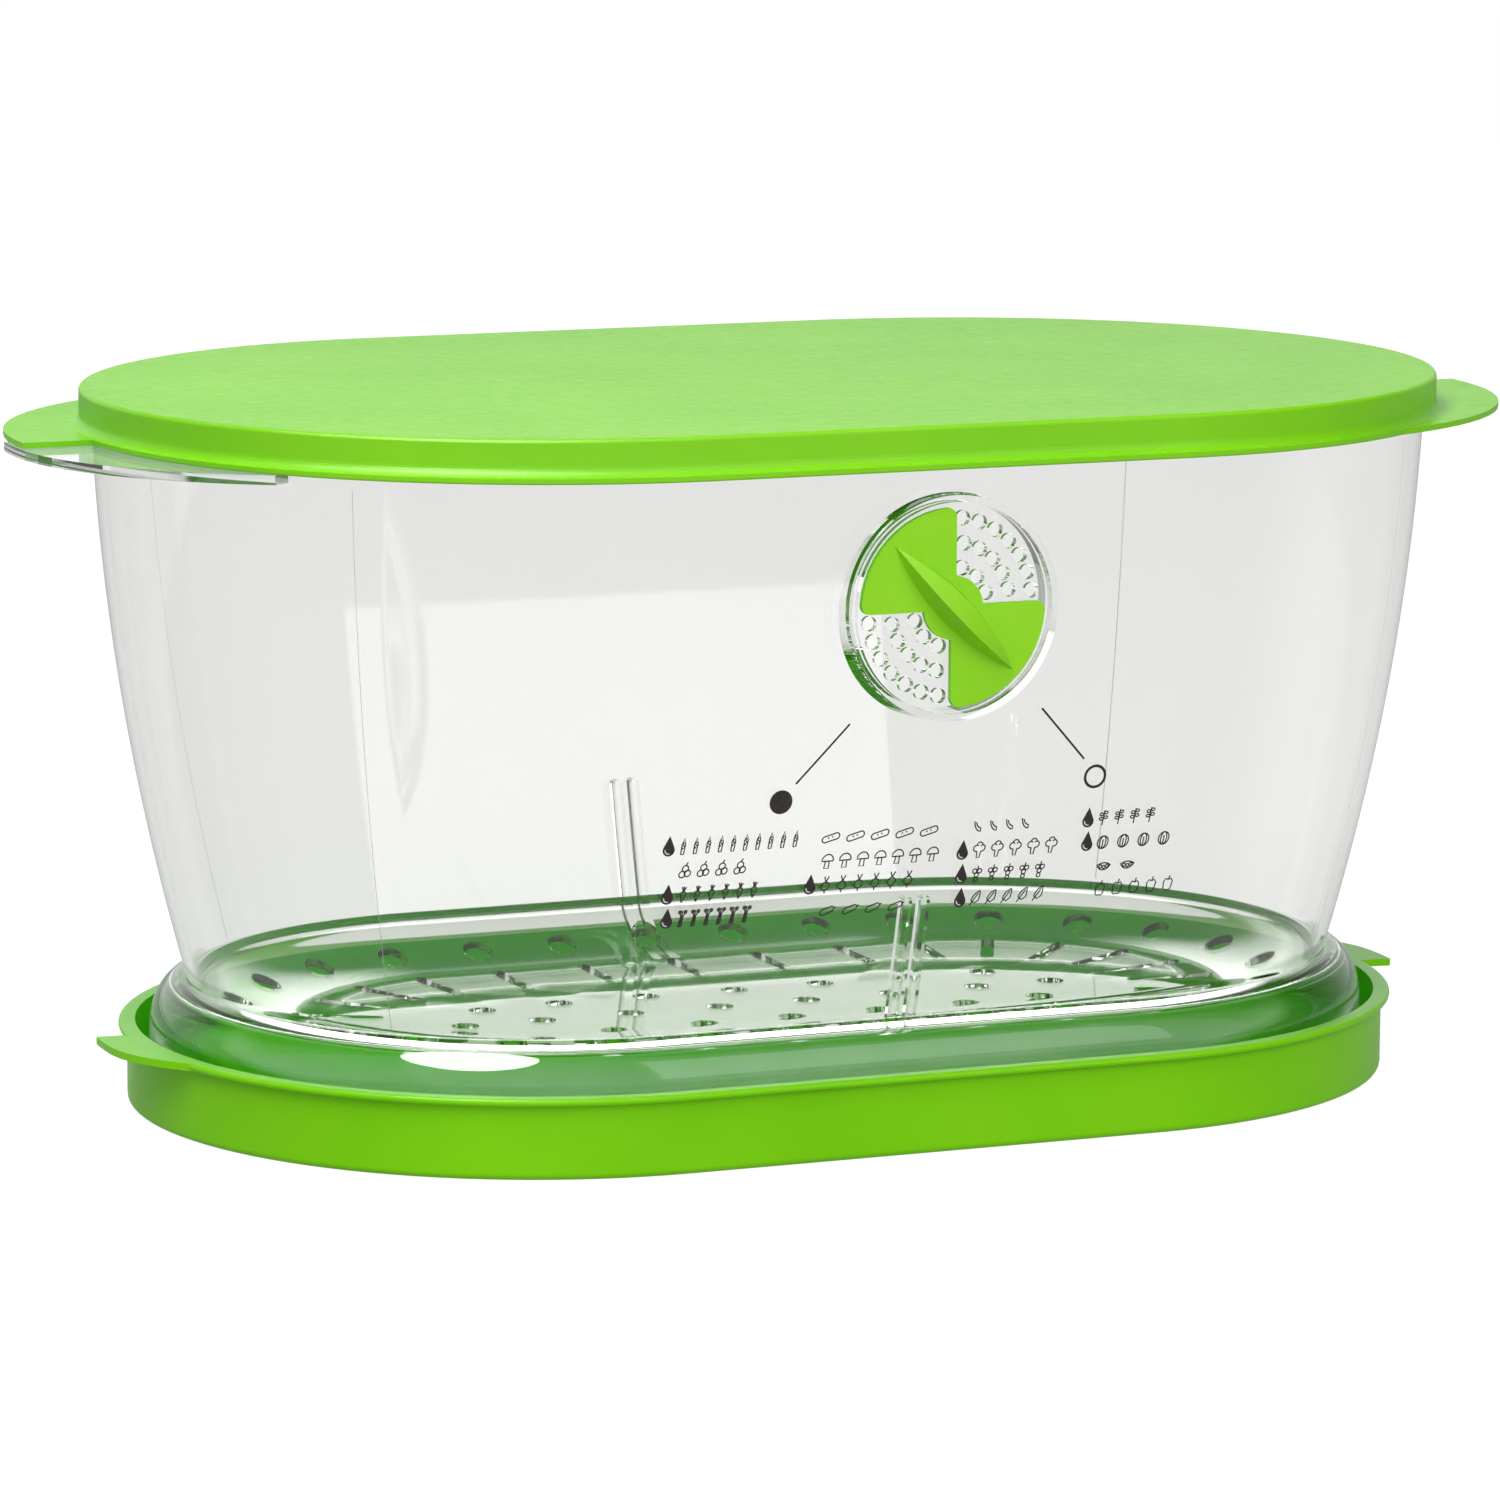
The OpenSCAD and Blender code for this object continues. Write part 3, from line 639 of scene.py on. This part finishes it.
def white_floor():
    bm = bmesh.new()
    bmesh.ops.create_grid(bm, x_segments=1, y_segments=1, size=6)
    floor = new_object("floor", bm)
    n = Nodes("floor_white")
    base = n.add("ShaderNodeBsdfDiffuse", Color=FLOOR_GREY, Roughness=1.0)
    # A refracted ray counts as a glossy one too, so its own light comes on top
    path = n.add("ShaderNodeLightPath")
    dull = n.add("ShaderNodeMath", operation="MAXIMUM")
    n.link(path.outputs["Is Diffuse Ray"], dull.inputs[0])
    n.link(path.outputs["Is Glossy Ray"], dull.inputs[1])
    through = n.add("ShaderNodeMath", operation="MULTIPLY_ADD")
    n.link(path.outputs["Is Transmission Ray"], through.inputs[0])
    through.inputs[1].default_value = FLOOR_THROUGH
    n.link(n.span(dull.outputs[0], FLOOR_SEEN, FLOOR_DULL, 0, 1), through.inputs[2])
    glow = n.add("ShaderNodeEmission", Color=(1, 1, 1, 1))
    n.link(through.outputs[0], glow.inputs["Strength"])
    both = n.add("ShaderNodeAddShader")
    n.link(base.outputs[0], both.inputs[0])
    n.link(glow.outputs[0], both.inputs[1])
    n.link(both.outputs[0], n.out.inputs["Surface"])
    floor.data.materials.append(n.mat)
    floor.location.z = -0.0002


def studio():
    """The world: white to the camera, a white sweep low down in reflections, and a soft fill."""
    world = bpy.data.worlds.new("studio")
    bpy.context.scene.world = world
    world.use_nodes = True
    t = world.node_tree
    t.nodes.clear()

    def node(kind, **values):
        made = t.nodes.new(kind)
        for key, value in values.items():
            setattr(made, key, value)
        return made

    def ranged(value, a, b, low, high):
        made = node("ShaderNodeMapRange", interpolation_type="SMOOTHSTEP")
        for key, number in zip(("From Min", "From Max", "To Min", "To Max"), (a, b, low, high)):
            made.inputs[key].default_value = number
        t.links.new(value, made.inputs["Value"])
        return made.outputs["Result"]

    def math_of(kind, a, b):
        made = node("ShaderNodeMath", operation=kind)
        for socket, value in zip(made.inputs, (a, b)):
            if isinstance(value, float):
                socket.default_value = value
            else:
                t.links.new(value, socket)
        return made.outputs[0]

    # The direction's own parts: x to the right, y to the rear and z up
    way = node("ShaderNodeSeparateXYZ")
    t.links.new(node("ShaderNodeTexCoord").outputs["Generated"], way.inputs[0])
    x, y, z = way.outputs
    path = node("ShaderNodeLightPath")
    low = ranged(z, 0.2, 0.65, 1.0, 0.0)
    low_sweep = math_of("MULTIPLY", low, ranged(y, 0.1, 0.8, SWEEP_FRONT, SWEEP_REAR))
    seen = math_of("ADD", low_sweep, LEAST_SEEN)
    glow = math_of("MAXIMUM", math_of("MULTIPLY", low_sweep, SWEEP_THROUGH), LEAST_THROUGH)
    # A brighter band over the sweep, which the rising rear of the bin's floor reflects out through the wall
    band = math_of("MULTIPLY", ranged(z, 0.2, 0.34, 0.0, 1.0), ranged(z, 0.48, 0.6, 1.0, 0.0))
    glow = math_of("ADD", glow, math_of("MULTIPLY", band, ranged(y, 0.3, 0.75, 0.0, BAND_THROUGH)))
    through = math_of("MULTIPLY", path.outputs["Is Transmission Ray"], glow)
    strength = math_of("MAXIMUM", math_of("MAXIMUM", seen, through), path.outputs["Is Camera Ray"])
    strength = math_of("MULTIPLY", strength, math_of("SUBTRACT", 1.0, path.outputs["Is Diffuse Ray"]))
    fill = ranged(x, -0.4, 0.8, FILL_LEFT, FILL_RIGHT)
    strength = math_of("ADD", strength, math_of("MULTIPLY", path.outputs["Is Diffuse Ray"], fill))
    white = node("ShaderNodeBackground")
    white.inputs["Color"].default_value = (1, 1, 1, 1)
    t.links.new(strength, white.inputs["Strength"])
    out = node("ShaderNodeOutputWorld")
    t.links.new(white.outputs[0], out.inputs["Surface"])


def area(name, place, target, size, radiance, shape="RECTANGLE", spin=0.0, unseen=()):
    """Lamp of a given radiance, turned by spin degrees, and unseen by the kinds of rays named."""
    light = bpy.data.lights.new(name, "AREA")
    light.shape = shape
    light.size, light.size_y = size
    surface = size[0] * size[1] * (math.pi / 4 if shape == "ELLIPSE" else 1)
    light.energy = radiance * math.pi * surface
    obj = bpy.data.objects.new(name, light)
    bpy.context.scene.collection.objects.link(obj)
    obj.location = place
    aim = (Vector(target) - Vector(place)).to_track_quat("-Z", "Y").to_matrix()
    obj.rotation_euler = (aim @ Matrix.Rotation(math.radians(spin), 3, "Z")).to_euler()
    for kind in ("camera",) + unseen:
        setattr(obj, "visible_" + kind, False)


def lamps():
    area("overhead", (-0.65, -0.47, 1.3), (-0.65, -0.47, 0), size=(0.8, 2.0), radiance=5.0,
         shape="ELLIPSE", spin=-36, unseen=("glossy",))
    # Below the lamp over it, since two lamps in one plane hide one another in reflections
    area("overhead_glint", (-0.88, -0.78, 1.28), (-0.88, -0.78, 0), size=(0.95, 1.55), radiance=22.0,
         shape="ELLIPSE", spin=-37, unseen=("diffuse", "transmission"))
    area("front_right", (0.49, -1.1, 0.72), (0.49, 0, 0.72), size=(0.52, 0.89), radiance=2.0)
    area("front_fill", (-0.1, -1.8, 0.8), (0, 0, 0.1), size=(1.6, 1.6), radiance=1.7,
         unseen=("glossy", "transmission"))
    area("behind", (0.3, 1.9, 0.7), (0, 0, 0.2), size=(2.6, 1.2), radiance=0.3)


SENSOR_MM, PHOTO_PIXELS, LOOK_Z = 36, 1500, 0.09


def camera():
    """The photo's camera: focal length in pixels, distance in metres and turns in radians."""
    focal, dist, az, el, roll, pan, tilt = (
        7661.0825, 1.87867933, -0.41268063, 0.158405731, -0.00684579564, -0.00177111499, -0.00462167233)
    back = Vector((math.sin(az) * math.cos(el), -math.cos(az) * math.cos(el), math.sin(el)))
    right = Vector((math.cos(az), math.sin(az), 0))
    up = back.cross(right)
    x1 = right * math.cos(pan) + back * math.sin(pan)
    ahead = right * math.sin(pan) - back * math.cos(pan)
    y1 = up * math.cos(tilt) - ahead * math.sin(tilt)
    ahead = up * math.sin(tilt) + ahead * math.cos(tilt)
    x2 = x1 * math.cos(roll) - y1 * math.sin(roll)
    y2 = x1 * math.sin(roll) + y1 * math.cos(roll)
    data = bpy.data.cameras.new("camera")
    data.sensor_width = SENSOR_MM
    data.lens = focal / PHOTO_PIXELS * SENSOR_MM
    data.clip_start, data.clip_end = 0.05, 30
    cam = bpy.data.objects.new("camera", data)
    bpy.context.scene.collection.objects.link(cam)
    place = Vector((0, 0, LOOK_Z)) + back * dist
    turn = Matrix((x2, y2, -ahead)).transposed().to_4x4()
    cam.matrix_world = Matrix.Translation(place) @ turn
    bpy.context.scene.camera = cam


white_floor()
studio()
lamps()
camera()

cycles = bpy.context.scene.cycles
cycles.max_bounces = 24
cycles.transmission_bounces = 24
cycles.glossy_bounces = 8
cycles.transparent_max_bounces = 24
# Five lamps need no light tree, and a render is a third quicker without it
cycles.use_light_tree = False
view = bpy.context.scene.view_settings
view.view_transform = "Standard"
